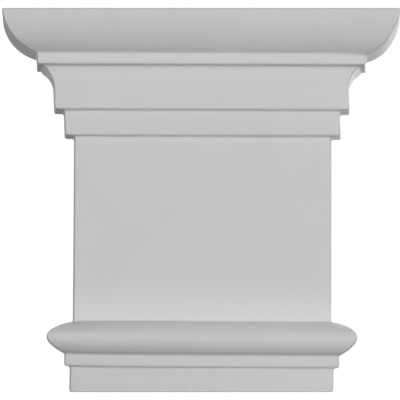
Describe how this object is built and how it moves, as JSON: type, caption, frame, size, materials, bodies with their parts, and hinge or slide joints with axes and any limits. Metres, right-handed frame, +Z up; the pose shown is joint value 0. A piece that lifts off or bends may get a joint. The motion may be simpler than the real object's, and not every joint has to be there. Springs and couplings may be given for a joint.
{
  "type": "pilaster capital",
  "caption": "Plain moulded pilaster capital with mitred returns and a flat back: convex crown, cove, stepped fascias, tall frieze, half-round collar and base block.",
  "frame": {"origin": "middle of the underside's bearing face, where the capital sits on its pilaster", "axes": "+Z up, +Y into the wall, so the moulded face looks along -Y, and +X to the right as it is looked at"},
  "size_m": [0.2682, 0.0726, 0.2509],
  "materials": {
    "primed_foam": "matte off-white factory primer on cast rigid polyurethane, faintly mottled, with softened edges"
  },
  "bodies": {
    "root": {"pilaster_capital": "primed_foam"}
  },
  "joints": []
}
